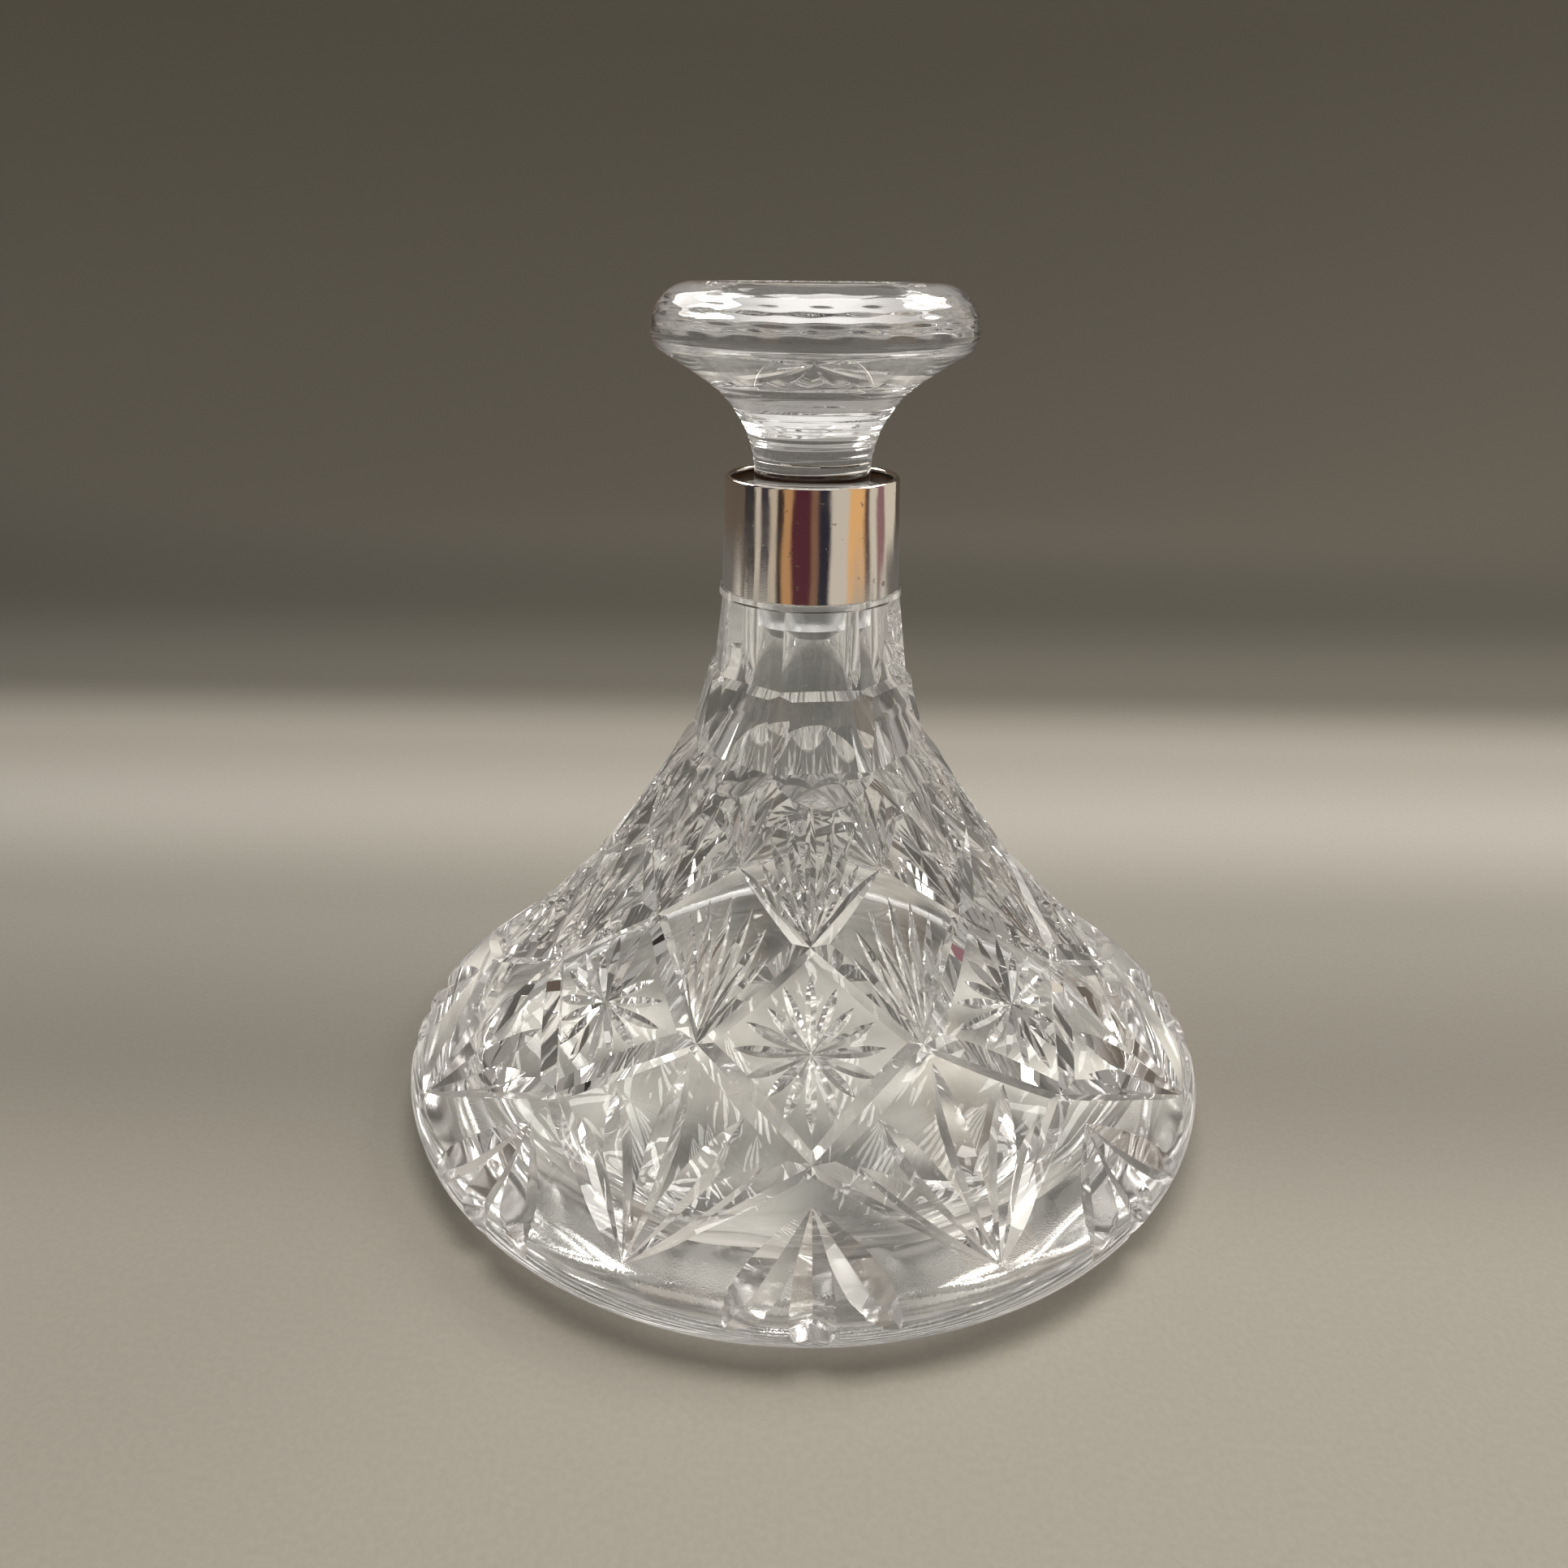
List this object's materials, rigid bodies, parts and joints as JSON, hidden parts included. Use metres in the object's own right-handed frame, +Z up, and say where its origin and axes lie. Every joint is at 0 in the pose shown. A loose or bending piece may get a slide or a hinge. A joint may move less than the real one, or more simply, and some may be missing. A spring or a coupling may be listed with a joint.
{
  "type": "ship's decanter",
  "caption": "Broad-based ship's decanter in heavy cut glass, with a silver sleeve collar on its panelled neck and a solid mushroom stopper that lifts out of a ground taper.",
  "frame": {"origin": "centre of the flat underside, on the surface that the decanter stands on", "axes": "+Z up along the neck, -Y towards the picture's viewer, +X to the viewer's right"},
  "size_m": [0.21, 0.21, 0.2031],
  "materials": {
    "body_glass": "polished cut lead glass",
    "silver": "polished silver with fine scratches",
    "cement": "matt set cement",
    "stopper_glass": "polished glass with a ground peg"
  },
  "bodies": {
    "decanter": {"decanter_body": "body_glass", "silver_collar": "silver", "collar_cement": "cement"},
    "stopper": {"stopper": "stopper_glass"}
  },
  "joints": [
    {"name": "stopper_lift", "type": "slide", "parent": "decanter", "child": "stopper", "axis": [0, 0, 1], "range_m": [0, 0.08]}
  ]
}
